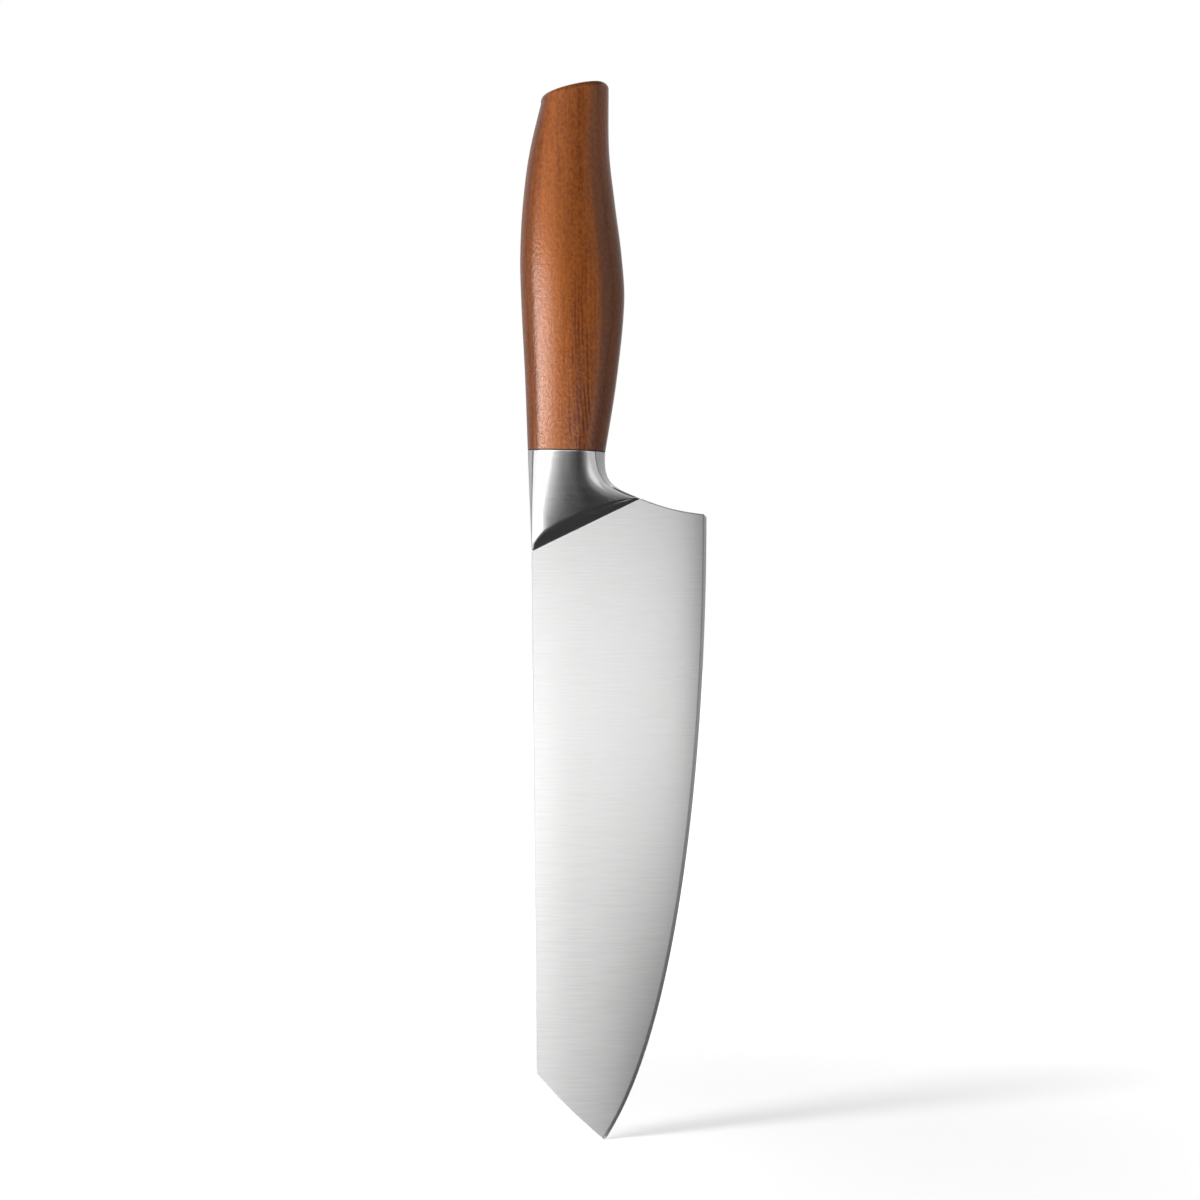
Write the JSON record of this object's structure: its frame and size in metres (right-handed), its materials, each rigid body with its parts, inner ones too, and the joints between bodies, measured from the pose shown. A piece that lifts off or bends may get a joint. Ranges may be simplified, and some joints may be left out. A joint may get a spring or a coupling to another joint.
{
  "type": "santoku knife",
  "caption": "Kitchen knife with a clipped point, a satin steel blade, a sculpted steel bolster and a swelling one-piece wooden handle.",
  "frame": {"origin": "middle of the rack face, on the back flat of the blade, 8 mm from the spine and 95 mm above the point", "axes": "+Z from the point to the butt of the handle, +X from the spine to the cutting edge, +Y out of the back flat"},
  "size_m": [0.0531, 0.0206, 0.3008],
  "materials": {
    "blade_steel": "fine satin, brushed from spine to edge",
    "bolster_steel": "soft polish",
    "tang_steel": "as rolled",
    "handle_wood": "satin lacquer over straight reddish brown grain",
    "epoxy": "cured, dark"
  },
  "bodies": {
    "root": {"blade": "blade_steel", "bolster": "bolster_steel", "tang": "tang_steel", "handle": "handle_wood", "tang_epoxy": "epoxy"}
  },
  "joints": []
}
